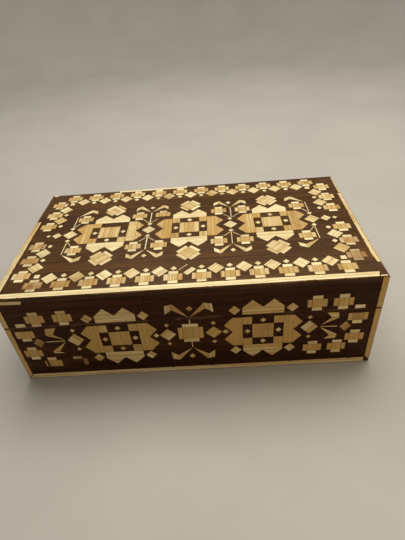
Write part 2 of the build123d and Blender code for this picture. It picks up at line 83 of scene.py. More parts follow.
def corners_of(*nodes):
    """Lowest and highest corner of several nodes together."""
    boxes = [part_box(node) for node in nodes]
    low = Vector(min(box[0][axis] for box in boxes) for axis in range(3))
    high = Vector(max(box[1][axis] for box in boxes) for axis in range(3))
    return low, high


BASE_BOARDS = ("base_front_board", "base_back_board", "base_left_board", "base_right_board")
LID_RAILS = ("lid_front_rail", "lid_back_rail", "lid_left_rail", "lid_right_rail")
GRAIN_ALONG_DEPTH = ("base_left_board", "base_right_board", "lid_left_rail", "lid_right_rail")
HINGE_NODES = [node for node in sorted(frame["nodes"]) if node.startswith("hinge_")]
SCREW_NODES = [node for node in HINGE_NODES if node.endswith("_screws")]

wood_low, wood_high = corners_of(*BASE_BOARDS, "lid_top_panel")
rim_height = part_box("base_front_board")[1].z
lid_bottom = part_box("lid_front_rail")[0].z
straw_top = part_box("lid_top_diamonds")[1].z
straw_thickness = straw_top - wood_high.z
slot_of = {part["node"]: part["material_slot"] for part in frame["record"]["subparts"]}

# slip is how far its straw lies off the plan, in mm. gold is how much darker that straw is painted:
# painted shade on the walls, deepest on the front, none on the top.
Face = namedtuple("Face", "out run rise plane slip gold")
FACES = {
    "top": Face(UP, Vector((1, 0, 0)), Vector((0, 1, 0)), wood_high.z, 0.05, 0.0),
    "front": Face(Vector((0, -1, 0)), Vector((1, 0, 0)), UP, -wood_low.y, 0.08, 0.42),
    "back": Face(Vector((0, 1, 0)), Vector((-1, 0, 0)), UP, wood_high.y, 0.25, 0.28),
    "left": Face(Vector((-1, 0, 0)), Vector((0, -1, 0)), UP, -wood_low.x, 0.25, 0.28),
    "right": Face(Vector((1, 0, 0)), Vector((0, 1, 0)), UP, wood_high.x, 0.25, 0.28),
}

# ---- What a user would change ------------------------------------------------------------------


def colour(name, description, red, green, blue):
    return FloatVectorProperty(
        name=name,
        description=description,
        default=(red, green, blue, 1.0),
        size=4,
        subtype="COLOR",
        min=0.0,
        max=1.0,
    )


def length(name, description, default):
    return FloatProperty(
        name=name,
        description=description,
        default=default,
        min=0.0,
        subtype="DISTANCE",
        unit="LENGTH",
    )


def share(name, description, default):
    return FloatProperty(name=name, description=description, default=default, min=0.0, max=1.0)


def power(name, description, default):
    return FloatProperty(name=name, description=description, default=default, min=0.0, unit="POWER")


class StrawSettings(bpy.types.PropertyGroup):
    """Sizes and colours of the split straw."""

    ribbon_width: length("Ribbon width", "Width of one split and ironed straw", 3.5 * MM)
    strip_width: length("Strip width", "Width of one straw in the edging", 2.6 * MM)
    ribbon_gap: length("Ribbon gap", "Light between two straws of one piece", 0.06 * MM)
    rounding: length("Rounding", "How far the cut edges round over", 0.05 * MM)
    crown: length("Crown", "How much higher the middle of a straw is than its edges", 0.06 * MM)
    knife_slip: length("Knife slip", "How far a cut edge wanders", 0.035 * MM)
    chip: length("Chip", "The deepest chip in the edging", 0.5 * MM)
    longest_straw: length("Longest straw", "A strip longer than this is pieced", 96 * MM)
    seed: IntProperty(name="Seed", description="Changes which straw is darker", default=7, min=1)
    pale: colour("Pale straw", "Sun-bleached straw", 0.96, 0.84, 0.48)
    gold: colour("Golden straw", "Ordinary straw", 0.56, 0.345, 0.092)
    toasted: colour("Toasted straw", "Straw browned by the iron", 0.20, 0.075, 0.018)


class WoodSettings(bpy.types.PropertyGroup):
    """Colours and wear of the wood."""

    stain_dark: colour("Dark stain", "Stain in the dense grain", 0.009, 0.0024, 0.0007)
    stain_light: colour("Light stain", "Stain between the grain", 0.085, 0.024, 0.0045)
    painted_top_sheen_dark: colour("Faded dark stain", "The same on top of the lid", 0.024, 0.0075, 0.0015)
    painted_top_sheen_light: colour("Faded light stain", "The same on top of the lid", 0.125, 0.050, 0.0105)
    bare: colour("Bare wood", "Unstained wood inside", 0.46, 0.30, 0.155)
    bare_dark: colour("Bare grain", "Grain of the unstained wood", 0.27, 0.155, 0.070)
    worn: colour("Worn wood", "Wood where the stain has rubbed off", 0.21, 0.12, 0.062)
    wear: share("Wear", "How far the edges have rubbed through", 0.55)


class MetalSettings(bpy.types.PropertyGroup):
    """Colours of the hinges and their screws."""

    brass: colour("Brass", "Clean brass", 0.70, 0.50, 0.20)
    tarnish: colour("Tarnish", "Brass that has darkened", 0.20, 0.125, 0.05)
    steel: colour("Steel", "Clean steel", 0.55, 0.53, 0.50)
    rust: colour("Rust", "Steel that has darkened", 0.14, 0.09, 0.06)


class StageSettings(bpy.types.PropertyGroup):
    """The floor, the lights and the camera."""

    floor: colour("Floor", "Colour of the floor and backdrop", 0.45, 0.42, 0.375)
    floor_reach: length("Floor reach", "How far the floor runs each way", 1.4)
    key_power: power("Key light", "Power of the light overhead", 15.0)
    fill_power: power("Fill light", "Power of the light in front", 1.15)
    sky: FloatProperty(name="Sky", description="Strength of the light all round", default=0.15)
    focal_length: FloatProperty(
        name="Focal length", description="Of the camera", default=26.98, unit="CAMERA"
    )


# ---- Shader nodes ------------------------------------------------------------------------------


class Graph:
    """Adds nodes to one tree. What is given for a socket is a number, a colour or a socket."""

    def __init__(self, tree):
        self.tree = tree
        self.count = 0

    def feed(self, socket, value):
        if isinstance(value, bpy.types.NodeSocket):
            self.tree.links.new(value, socket)
        elif value is not None:
            socket.default_value = value

    def node(self, kind, **settings):
        made = self.tree.nodes.new(kind)
        made.location = (self.count % 8 * 200, -(self.count // 8) * 260)
        self.count += 1
        for name, value in settings.items():
            setattr(made, name, value)
        return made

    def math(self, operation, *values, clamp=False):
        made = self.node("ShaderNodeMath", operation=operation, use_clamp=clamp)
        for socket, value in zip(made.inputs, values):
            self.feed(socket, value)
        return made.outputs[0]

    def mix(self, factor, first, second):
        made = self.node("ShaderNodeMix", data_type="RGBA")
        for name, value in (("Factor_Float", factor), ("A_Color", first), ("B_Color", second)):
            socket = next(s for s in made.inputs if s.identifier == name)
            self.feed(socket, value)
        return next(s for s in made.outputs if s.identifier == "Result_Color")

    def step(self, value, start, end, low=0.0, high=1.0):
        """value between start and end, as a smooth step from low to high."""
        made = self.node("ShaderNodeMapRange", interpolation_type="SMOOTHSTEP")
        for socket, given in zip(made.inputs, (value, start, end, low, high)):
            self.feed(socket, given)
        return made.outputs[0]

    def split(self, vector):
        made = self.node("ShaderNodeSeparateXYZ")
        self.feed(made.inputs[0], vector)
        return made.outputs

    def join(self, *values):
        made = self.node("ShaderNodeCombineXYZ")
        for socket, value in zip(made.inputs, values):
            self.feed(socket, value)
        return made.outputs[0]

    def scaled(self, vector, *factors):
        made = self.node("ShaderNodeVectorMath", operation="MULTIPLY")
        self.feed(made.inputs[0], vector)
        made.inputs[1].default_value = factors
        return made.outputs[0]

    def added(self, vector, other):
        made = self.node("ShaderNodeVectorMath", operation="ADD")
        self.feed(made.inputs[0], vector)
        self.feed(made.inputs[1], other)
        return made.outputs[0]

    def noise(self, vector, detail=2.0, roughness=0.5, scale=1.0):
        made = self.node("ShaderNodeTexNoise")
        self.feed(made.inputs["Vector"], vector)
        made.inputs["Scale"].default_value = scale
        made.inputs["Detail"].default_value = detail
        made.inputs["Roughness"].default_value = roughness
        return made.outputs[0]

    def group(self, group, **values):
        made = self.node("ShaderNodeGroup", node_tree=group)
        for name, value in values.items():
            self.feed(made.inputs[name.replace("_", " ")], value)
        return made.outputs

    def bump(self, height, strength, distance):
        made = self.node("ShaderNodeBump")
        made.inputs["Strength"].default_value = strength
        made.inputs["Distance"].default_value = distance
        self.feed(made.inputs["Height"], height)
        return made.outputs[0]


SOCKETS = {"v": "NodeSocketVector", "c": "NodeSocketColor", "f": "NodeSocketFloat"}


def shader_group(name, inputs, outputs):
    """An empty node group with these named sockets, as (its graph, its inputs, its output node)."""
    tree = bpy.data.node_groups.new(name, "ShaderNodeTree")
    for label, kind in inputs:
        tree.interface.new_socket(label, in_out="INPUT", socket_type=SOCKETS[kind])
    for label, kind in outputs:
        tree.interface.new_socket(label, in_out="OUTPUT", socket_type=SOCKETS[kind])
    graph = Graph(tree)
    return graph, graph.node("NodeGroupInput").outputs, graph.node("NodeGroupOutput").inputs


def wood_grain():
    """Streaks and pores of wood whose grain runs along the first direction of Place, in metres."""
    if "Wood grain" in bpy.data.node_groups:
        return bpy.data.node_groups["Wood grain"]
    g, given, out = shader_group(
        "Wood grain",
        [("Place", "v"), ("Waviness", "f")],
        [("Bands", "f"), ("Streaks", "f"), ("Pores", "f"), ("Height", "f")],
    )
    place = given["Place"]
    sway = g.noise(g.scaled(place, 9, 24, 24), detail=1)
    sway = g.math("MULTIPLY", g.math("SUBTRACT", sway, 0.5), given["Waviness"])
    swayed = g.added(place, g.join(0, sway, sway))
    bands = g.noise(g.scaled(swayed, 4, 45, 45), detail=2)
    streaks = g.noise(g.scaled(swayed, 16, 700, 700), detail=4, roughness=0.7)
    dashes = g.noise(g.scaled(swayed, 170, 2600, 2600), detail=1)
    g.feed(out["Bands"], g.step(bands, 0.3, 0.7))
    g.feed(out["Streaks"], g.step(streaks, 0.36, 0.62))
    pores = g.step(dashes, 0.60, 0.70)
    g.feed(out["Pores"], pores)
    height = g.math("SUBTRACT", g.math("MULTIPLY", streaks, 0.5), pores)
    g.feed(out["Height"], height)
    return g.tree


def edge_wear():
    """Where the outer edges of the box are rubbed: 1 at a rubbed edge, 0 elsewhere."""
    if "Edge wear" in bpy.data.node_groups:
        return bpy.data.node_groups["Edge wear"]
    g, given, out = shader_group(
        "Edge wear",
        [("Place", "v"), ("Half Width", "f"), ("Half Depth", "f"), ("Height", "f"), ("Rim", "f")]
        + [("Reach", "f"), ("Amount", "f")],
        [("Mask", "f")],
    )
    place = given["Place"]
    x, y, z = g.split(place)
    from_side = g.math("SUBTRACT", given["Half Width"], g.math("ABSOLUTE", x))
    from_front = g.math("SUBTRACT", given["Half Depth"], g.math("ABSOLUTE", y))
    from_top = g.math("SUBTRACT", given["Height"], z)
    from_rim = g.math("ABSOLUTE", g.math("SUBTRACT", z, given["Rim"]))
    level = g.math("MINIMUM", g.math("MINIMUM", from_top, z), g.math("MULTIPLY", from_rim, 1.2))
    # The second smallest of three distances is how far the nearest edge is.
    smaller = g.math("MINIMUM", from_side, from_front)
    larger = g.math("MAXIMUM", from_side, from_front)
    near = g.math("MAXIMUM", smaller, g.math("MINIMUM", larger, level))
    rough = g.noise(place, detail=4, roughness=0.7, scale=260)
    slow = g.noise(place, detail=1, scale=28)
    reach = g.math("MULTIPLY", given["Reach"], g.step(slow, 0.35, 0.75, 0.25, 1.7))
    reach = g.math("MULTIPLY", reach, g.step(rough, 0.3, 0.75, 0.2, 1.9))
    worn = g.math("SUBTRACT", 1.0, g.math("DIVIDE", near, reach), clamp=True)
    g.feed(out["Mask"], g.math("MULTIPLY", g.step(worn, 0.0, 0.55), given["Amount"]))
    return g.tree


def handling():
    """Rubbed patches and fine scratches in a lacquer or on metal."""
    if "Handling" in bpy.data.node_groups:
        return bpy.data.node_groups["Handling"]
    g, given, out = shader_group(
        "Handling",
        [("Place", "v"), ("Scratch Size", "f")],
        [("Patches", "f"), ("Scratches", "f")],
    )
    place = given["Place"]
    patches = g.noise(place, detail=3, roughness=0.6, scale=42)
    g.feed(out["Patches"], g.step(patches, 0.35, 0.7))
    sized = g.node("ShaderNodeVectorMath", operation="SCALE")
    g.feed(sized.inputs[0], place)
    g.feed(sized.inputs["Scale"], given["Scratch Size"])
    turned = g.node("ShaderNodeMapping")
    g.feed(turned.inputs["Vector"], sized.outputs[0])
    turned.inputs["Rotation"].default_value = (0.5, 0.3, 0.7)
    # Each is a thin sheet, so it meets a surface that faces any way in a thin line.
    one = g.noise(g.scaled(turned.outputs[0], 45, 2200, 70), detail=0)
    turned = g.node("ShaderNodeMapping")
    g.feed(turned.inputs["Vector"], sized.outputs[0])
    turned.inputs["Rotation"].default_value = (-0.4, 0.6, -0.9)
    other = g.noise(g.scaled(turned.outputs[0], 60, 2600, 50), detail=0)
    g.feed(out["Scratches"], g.step(g.math("MAXIMUM", one, other), 0.76, 0.84))
    return g.tree


def straw_figure():
    """Colour with painted shade at the edges, shine and ridges of split straw. Run holds the place
    along and across one straw.
    """
    if "Split straw" in bpy.data.node_groups:
        return bpy.data.node_groups["Split straw"]
    g, given, out = shader_group(
        "Split straw",
        [("Run", "v"), ("Hue", "v"), ("Place", "v")]
        + [("Pale", "c"), ("Gold", "c"), ("Toasted", "c")],
        [("Color", "c"), ("Roughness", "f"), ("Height", "f")],
    )
    tint, toast, edge_shade = g.split(given["Hue"])
    stripes = g.noise(g.scaled(given["Run"], 9, 900, 1), detail=2, roughness=0.6)
    veins = g.noise(g.scaled(given["Run"], 22, 5200, 1), detail=3, roughness=0.7)
    blotches = g.noise(given["Place"], detail=3, roughness=0.6, scale=120)
    flecks = g.noise(g.scaled(given["Run"], 420, 2400, 1), detail=1)
    shift = g.math("MULTIPLY", g.math("SUBTRACT", stripes, 0.5), 1.9)
    share_of_gold = g.math("ADD", tint, shift)
    shift = g.math("MULTIPLY", g.math("SUBTRACT", blotches, 0.5), 0.5)
    share_of_gold = g.math("ADD", share_of_gold, shift, clamp=True)
    body = g.mix(share_of_gold, given["Pale"], given["Gold"])
    browned = g.math("MULTIPLY", toast, g.step(blotches, 0.3, 0.62, 0.45, 1.0))
    body = g.mix(browned, body, given["Toasted"])
    dark = g.math("MULTIPLY", g.step(veins, 0.46, 0.64), 0.5)
    body = g.mix(dark, body, given["Toasted"])
    body = g.mix(g.math("MULTIPLY", g.step(flecks, 0.72, 0.8), 0.5), body, given["Toasted"])
    # Painted shade: the rounded edges and sides of every straw are darkened towards the toasted
    # colour.
    body = g.mix(g.math("MULTIPLY", edge_shade, 0.8), body, given["Toasted"])
    g.feed(out["Color"], body)
    rough = g.math("ADD", g.math("MULTIPLY", veins, 0.25), 0.28)
    g.feed(out["Roughness"], rough)
    height = g.math("ADD", g.math("MULTIPLY", stripes, 0.6), veins)
    g.feed(out["Height"], height)
    return g.tree


# ---- Materials ---------------------------------------------------------------------------------


PORE_BLACK = (0.004, 0.002, 0.001, 1.0)


def new_material(name):
    """An empty material, as (the material, its graph, its shader, the place in the box's frame)."""
    material = bpy.data.materials.new(name)
    material.use_nodes = True
    material.node_tree.nodes.clear()
    g = Graph(material.node_tree)
    shader = g.node("ShaderNodeBsdfPrincipled")
    output = g.node("ShaderNodeOutputMaterial")
    g.tree.links.new(shader.outputs[0], output.inputs["Surface"])
    place = g.node("ShaderNodeTexCoord").outputs["Object"]
    return material, g, shader.inputs, place


def box_edge_values():
    return {
        "Half_Width": wood_high.x,
        "Half_Depth": wood_high.y,
        "Height": wood_high.z,
        "Rim": (rim_height + lid_bottom) / 2,
    }


def inside_mask(g, place):
    """1 on the faces that look into the box, 0 on those that look out, in between on the rims."""
    x, y, z = g.split(place)
    deep_x = g.math("SUBTRACT", wood_high.x, g.math("ABSOLUTE", x))
    deep_y = g.math("SUBTRACT", wood_high.y, g.math("ABSOLUTE", y))
    deep_up = g.math("SUBTRACT", wood_high.z, z)
    deep = g.math("MINIMUM", g.math("MINIMUM", deep_x, deep_y), deep_up)
    ragged = g.noise(place, detail=4, roughness=0.6, scale=190)
    deep = g.math("ADD", deep, g.math("MULTIPLY", g.math("SUBTRACT", ragged, 0.5), 2.2 * MM))
    return g.step(deep, 1.4 * MM, 3.4 * MM)


def stained_wood(along_depth=False, faded=False):
    """Dark stained and lacquered outside, bare inside, with the grain along the board."""
    name = "stained wood, grain to the back" if along_depth else "stained wood, grain to the right"
    if faded:
        name = "faded stained wood"
    if name in bpy.data.materials:
        return bpy.data.materials[name]
    look = bpy.context.scene.inlaid_box_wood
    light, dark = look.stain_light, look.stain_dark
    material, g, shader, place = new_material(name)
    x, y, z = g.split(place)
    if faded:  # the lighter, greyer stain on its upper face is painted sheen
        sheen_mask = g.step(z, wood_high.z - 0.6 * MM, wood_high.z - 0.2 * MM)
        light = g.mix(sheen_mask, light, look.painted_top_sheen_light)
        dark = g.mix(sheen_mask, dark, look.painted_top_sheen_dark)
    run = g.join(y, x, z) if along_depth else place
    grain = g.group(wood_grain(), Place=run, Waviness=0.006)
    marks = g.group(handling(), Place=place, Scratch_Size=1.0)
    wear = g.group(edge_wear(), Place=place, Reach=1.1 * MM, Amount=look.wear, **box_edge_values())

    stain = g.mix(g.math("MULTIPLY", grain["Streaks"], 0.8), light, dark)
    stain = g.mix(g.math("MULTIPLY", grain["Bands"], 0.6), stain, dark)
    stain = g.mix(g.math("MULTIPLY", grain["Pores"], 0.6), stain, PORE_BLACK)
    bare = g.mix(g.math("MULTIPLY", grain["Streaks"], 0.5), look.bare, look.bare_dark)
    bare = g.mix(g.math("MULTIPLY", grain["Pores"], 0.45), bare, look.bare_dark)
    inside = inside_mask(g, place)
    body = g.mix(inside, stain, bare)
    rubbed = g.mix(g.math("MULTIPLY", grain["Streaks"], 0.5), look.worn, light)
    body = g.mix(wear["Mask"], body, rubbed)
    body = g.mix(g.math("MULTIPLY", marks["Scratches"], 0.16), body, look.worn)
    g.feed(shader["Base Color"], body)

    satin = g.step(marks["Patches"], 0.0, 1.0, 0.36, 0.5)
    satin = g.math("ADD", satin, g.math("MULTIPLY", inside, 0.22))
    satin = g.math("ADD", satin, g.math("MULTIPLY", marks["Scratches"], 0.12))
    g.feed(shader["Roughness"], satin)
    lacquer = g.math("SUBTRACT", 1.0, g.math("MAXIMUM", inside, wear["Mask"]), clamp=True)
    g.feed(shader["Coat Weight"], g.math("MULTIPLY", lacquer, 0.1 if faded else 0.05))
    shader["Coat Roughness"].default_value = 0.22
    gleam, gleam_tint = (0.25, (1.0, 0.62, 0.3, 1.0)) if faded else (0.12, (1.0, 0.5, 0.25, 1.0))
    shader["Specular IOR Level"].default_value = gleam
    shader["Specular Tint"].default_value = gleam_tint
    g.feed(shader["Normal"], g.bump(grain["Height"], 0.35, 0.12 * MM))
    return material


def panel_wood():
    """Bare sanded wood of the bottom, a little grubby."""
    look = bpy.context.scene.inlaid_box_wood
    material, g, shader, place = new_material("bare panel wood")
    grain = g.group(wood_grain(), Place=place, Waviness=0.012)
    marks = g.group(handling(), Place=place, Scratch_Size=0.7)
    body = g.mix(g.math("MULTIPLY", grain["Streaks"], 0.55), look.bare, look.bare_dark)
    body = g.mix(g.math("MULTIPLY", grain["Bands"], 0.35), body, look.bare_dark)
    body = g.mix(g.math("MULTIPLY", grain["Pores"], 0.5), body, look.bare_dark)
    grime = g.noise(place, detail=4, roughness=0.65, scale=22)
    body = g.mix(g.step(grime, 0.5, 0.78, 0.0, 0.55), body, look.worn)
    g.feed(shader["Base Color"], body)
    g.feed(shader["Roughness"], g.step(marks["Patches"], 0.0, 1.0, 0.55, 0.75))
    height = g.math("SUBTRACT", grain["Height"], marks["Scratches"])
    g.feed(shader["Normal"], g.bump(height, 0.4, 0.12 * MM))
    return material


def straw(slot):
    """Lacquered straw of one of the record's slots."""
    name = slot.replace("_", " ")
    if name in bpy.data.materials:
        return bpy.data.materials[name]
    look = bpy.context.scene.inlaid_box_straw
    material, g, shader, place = new_material(name)
    run = g.node("ShaderNodeAttribute", attribute_name="straw_run").outputs["Vector"]
    hue = g.node("ShaderNodeAttribute", attribute_name="straw_hue").outputs["Vector"]
    figure = g.group(
        straw_figure(),
        Run=run,
        Hue=hue,
        Place=place,
        Pale=look.pale,
        Gold=look.gold,
        Toasted=look.toasted,
    )
    marks = g.group(handling(), Place=place, Scratch_Size=1.4)
    g.feed(shader["Base Color"], figure["Color"])
    rough = g.math("ADD", figure["Roughness"], g.math("MULTIPLY", marks["Scratches"], 0.15))
    g.feed(shader["Roughness"], rough)
    g.feed(shader["Coat Weight"], g.step(marks["Patches"], 0.0, 1.0, 0.3, 0.15))
    shader["Coat Roughness"].default_value = 0.22
    shader["Specular IOR Level"].default_value = 0.3
    shader["Specular Tint"].default_value = (1.0, 0.86, 0.62, 1.0)
    g.feed(shader["Normal"], g.bump(figure["Height"], 0.5, 0.05 * MM))
    return material


def metal(name, clean, dull, shine):
    """Rolled or drawn metal that has darkened in patches."""
    material, g, shader, place = new_material(name)
    marks = g.group(handling(), Place=place, Scratch_Size=3.0)
    grime = g.noise(place, detail=4, roughness=0.65, scale=420)
    spots = g.noise(place, detail=2, roughness=0.6, scale=2200)
    dulled = g.math("MULTIPLY", g.step(grime, 0.38, 0.66), 0.75)
    dulled = g.math("MAXIMUM", dulled, g.math("MULTIPLY", g.step(spots, 0.66, 0.76), 0.8))
    body = g.mix(dulled, clean, dull)
    g.feed(shader["Base Color"], g.mix(g.math("MULTIPLY", marks["Scratches"], 0.5), body, clean))
    shader["Metallic"].default_value = 1.0
    g.feed(shader["Roughness"], g.math("ADD", g.math("MULTIPLY", dulled, 0.25), shine))
    height = g.math("SUBTRACT", g.math("MULTIPLY", grime, 0.6), marks["Scratches"])
    g.feed(shader["Normal"], g.bump(height, 0.25, 0.04 * MM))
    return material


def dress(node, material):
    """Gives a packed node its material."""
    mesh = frame["nodes"][node].data
    mesh.materials.clear()
    mesh.materials.append(material)


# ---- Straw -------------------------------------------------------------------------------------

PIECE_STEP = 2.4 * MM  # between the points where a knife's cut wanders
EDGING_STEP = 1.5 * MM
SHORTEST_END = 15 * MM  # of a pieced strip
CHIPS = 0.07  # share of those points that are chipped, in the edging
SMALLEST_STRAW = 0.02 * MM * MM
NARROW_HALF = 0.7 * MM  # a straw of less than this half width has one crease along it
SAME_PLACE = 0.002 * MM
ON_THE_LINE = 1e-8  # a point nearer than this to a cutting line counts as beside it
LONGEST_MITRE = 8  # times the rounding
SHARP_FROM = math.radians(28)
SLIP_RATE = 55  # how fast the slip changes over a face
BORDER = 1.5 * MM  # nothing slips this near the border of a face
SETTLED = 4 * MM  # this much further in, everything slips freely
STRAY_BROWN = (0.0,) * 11 + (0.3,)  # one in twelve pieces is browned a little
Kind = namedtuple("Kind", "grain tint spread")
KINDS = {
    "cross_bodies": Kind("rise", 0.86, 0.16),
    "cross_side_ears": Kind("rise", 0.78, 0.18),
    "cross_end_ears": Kind("run", 0.04, 0.14),
    "diamonds": Kind("slant", 0.42, 0.26),
    "beads": Kind("slant", 0.26, 0.24),
    "medallion_squares": Kind("rise", 0.78, 0.16),
    "medallion_blocks": Kind("rise", 0.86, 0.16),
    "crowns": Kind("run", 0.26, 0.18),
    "wings": Kind("rise", 0.94, 0.12),
    "stepped_diamond_bodies": Kind("slant", 0.62, 0.20),
    "stepped_diamond_ears": Kind("side", 0.46, 0.24),
    "leaf_blades": Kind("side", 0.55, 0.22),
    "leaf_hooks": Kind("side", 0.36, 0.20),
    "stems": Kind("side", 0.35, 0.10),
    "edging": Kind("side", 0.40, 0.12),
}
SCORCHED = (  # face, run and rise in mm, how far round it, how brown
    ("top", (-100.6, -58.9), 8, 0.72),
    ("top", (-82.1, -58.9), 7, 0.55),
    ("top", (-63.6, -58.9), 5, 0.3),
    ("top", (-112.1, -30.7), 8, 0.45),
    ("top", (-112.1, -13.0), 7, 0.55),
    ("top", (-104.9, -21.8), 3, 0.3),
    ("top", (-39.5, -20.6), 5, 0.4),
    ("top", (-30.0, 1.2), 3, 0.3),
    ("top", (111.9, -29.6), 7, 0.35),
    ("top", (111.9, -47.1), 8, 0.7),
    ("front", (-105.4, 37.2), 3, 0.75),
    ("front", (103.4, 37.2), 3, 0.6),
    ("front", (-83.0, 15.0), 9, 0.75),
    ("front", (0, 66.0), 16, 0.35),
    ("front", (110.6, 45.8), 4, 0.5),
    ("left", (-40, 40), 9, 0.5),
    ("right", (30, 20), 8, 0.6),
    ("back", (60, 40), 9, 0.5),
)


def outlines(node):
    """(face name, outline) of every straw piece of a node, counterclockwise from outside."""
    mesh = frame["nodes"][node].data
    for name, face in FACES.items():
        following = {}
        for polygon in mesh.polygons:
            if polygon.normal.dot(face.out) < 0.99:
                continue
            if polygon.center.dot(face.out) < face.plane + straw_thickness / 2:
                continue
            ring = list(polygon.vertices)
            for start, end in zip(ring, ring[1:] + ring[:1]):
                if (end, start) in following:
                    del following[end, start]
                else:
                    following[start, end] = True
        onward = {start: end for start, end in following}
        while onward:
            start, here = onward.popitem()
            loop = [start]
            while here != start:
                loop.append(here)
                here = onward.pop(here)
            points = [mesh.vertices[index].co for index in loop]
            yield name, [Vector((p.dot(face.run), p.dot(face.rise))) for p in points]


def grain_direction(grain, outline, draw):
    if grain == "rise":
        return Vector((0, 1))
    if grain == "run":
        return Vector((1, 0))
    sides = [end - start for start, end in zip(outline, outline[1:] + outline[:1])]
    sides.sort(key=lambda side: -side.length)
    chosen = sides[0]
    if grain == "slant":
        crossing = [side for side in sides if abs(side.normalized().dot(chosen.normalized())) < 0.6]
        if crossing and draw.random() < 0.5:
            chosen = crossing[0]
    return chosen.normalized()


def room_on_face(name, point):
    """How far a point is from the nearest border of its face or from the split."""
    run, rise = point
    if name == "top":
        return min(wood_high.x - abs(run), wood_high.y - abs(rise))
    half = wood_high.y if name in ("left", "right") else wood_high.x
    split = (rim_height + lid_bottom) / 2
    return min(half - abs(run), rise, wood_high.z - rise, abs(rise - split) - 0.6 * MM)


def slipped(name, point):
    """A point moved a little, alike for its neighbours, as pieces that are glued by hand lie."""
    face = FACES[name]
    freedom = min(1.0, max(0.0, (room_on_face(name, point) - BORDER) / SETTLED))
    place = (face.run * point.x + face.rise * point.y + face.out * face.plane) * SLIP_RATE
    push = noise.noise_vector(place + Vector((3.1, 7.7, 1.3)))
    turn = Vector((push.dot(face.run), push.dot(face.rise)))
    return point + turn * (face.slip * MM * 2.0 * freedom)


def hand_cut(outline, slip, spacing, draw, chip=0.0):
    """The outline with more points along its edges, each a little off the line."""
    cut = []
    for start, end in zip(outline, outline[1:] + outline[:1]):
        cut.append(start.copy())
        edge = end - start
        parts = int(edge.length / spacing)
        inward = Vector((-edge.y, edge.x)).normalized()
        for part in range(1, parts):
            place = start + edge * ((part + draw.uniform(-0.25, 0.25)) / parts)
            amount = draw.uniform(-slip, slip)
            if chip and parts > 6 and draw.random() < CHIPS:
                amount = draw.uniform(0.3, 1.0) * chip
            cut.append(place + inward * amount)
    return cut


def parted(outline, across, place):
    """The parts of an outline on the two sides of a line, turning the same way as the outline."""
    heights = [p.dot(across) - place for p in outline]
    heights = [height if abs(height) > ON_THE_LINE else ON_THE_LINE for height in heights]
    if min(heights) > 0 or max(heights) < 0:
        return [outline]
    ring, crossings = [], []
    for i, start in enumerate(outline):
        after = (i + 1) % len(outline)
        ring.append((start, None))
        if heights[i] * heights[after] < 0:
            point = start.lerp(outline[after], heights[i] / (heights[i] - heights[after]))
            ring.append((point, len(crossings)))
            crossings.append(point)
    # Along the line the crossings are by turns the start and the end of a stretch inside.
    order = sorted(range(len(crossings)), key=lambda n: crossings[n].cross(across))
    other_end = dict(zip(order[::2], order[1::2])) | dict(zip(order[1::2], order[::2]))
    first = next(i for i, (point, crossing) in enumerate(ring) if crossing is not None)
    ring = ring[first:] + ring[: first + 1]
    chains, start = {}, ring[0][1]
    chain = [ring[0][0]]
    for point, crossing in ring[1:]:
        chain.append(point)
        if crossing is not None:
            chains[start] = (chain, crossing)
            chain, start = [point], crossing
    parts = []
    while chains:
        here, part = min(chains), []
        while here in chains:
            chain, end = chains.pop(here)
            part += chain
            here = other_end[end]
        parts.append(part)
    return parts


def sliced(outline, cuts):
    """The parts of an outline that is cut along lines given as (across, place)."""
    parts = [outline]
    for across, place in cuts:
        parts = [new for part in parts for new in parted(part, across, place)]
    return parts


def area_of(points):
    return sum(a.x * b.y - b.x * a.y for a, b in zip(points, points[1:] + points[:1])) / 2


def drawn_in(points, amount):
    """The outline moved inwards by amount on every side."""
    moved = []
    for before, here, after in zip(points[-1:] + points[:-1], points, points[1:] + points[:1]):
        first = Vector((before.y - here.y, here.x - before.x)).normalized()
        second = Vector((here.y - after.y, after.x - here.x)).normalized()
        middle = first + second
        if middle.length < 0.2:
            moved.append(here.copy())
            continue
        middle.normalize()
        moved.append(here + middle * (amount / max(middle.dot(first), 0.35)))
    return moved


def creases_of(half):
    """Where across a straw of this half width its rounded top bends, from -1 to 1."""
    return (-1, -0.92, -0.7, -0.35, 0.35, 0.7, 0.92, 1) if half > NARROW_HALF else (-1, 0, 1)


def fall_of_dome(side, creases):
    """How far the rounded top has fallen at side, from 0 to 1, flat between creases."""
    side = min(1.0, max(-1.0, side))
    for low, high in zip(creases, creases[1:]):
        if side <= high:
            share_of_high = (side - low) / (high - low)
            return low * low * (1 - share_of_high) + high * high * share_of_high
    return 1.0


Ribbon = namedtuple("Ribbon", "face grain across middle half seed tint toast lift lean")


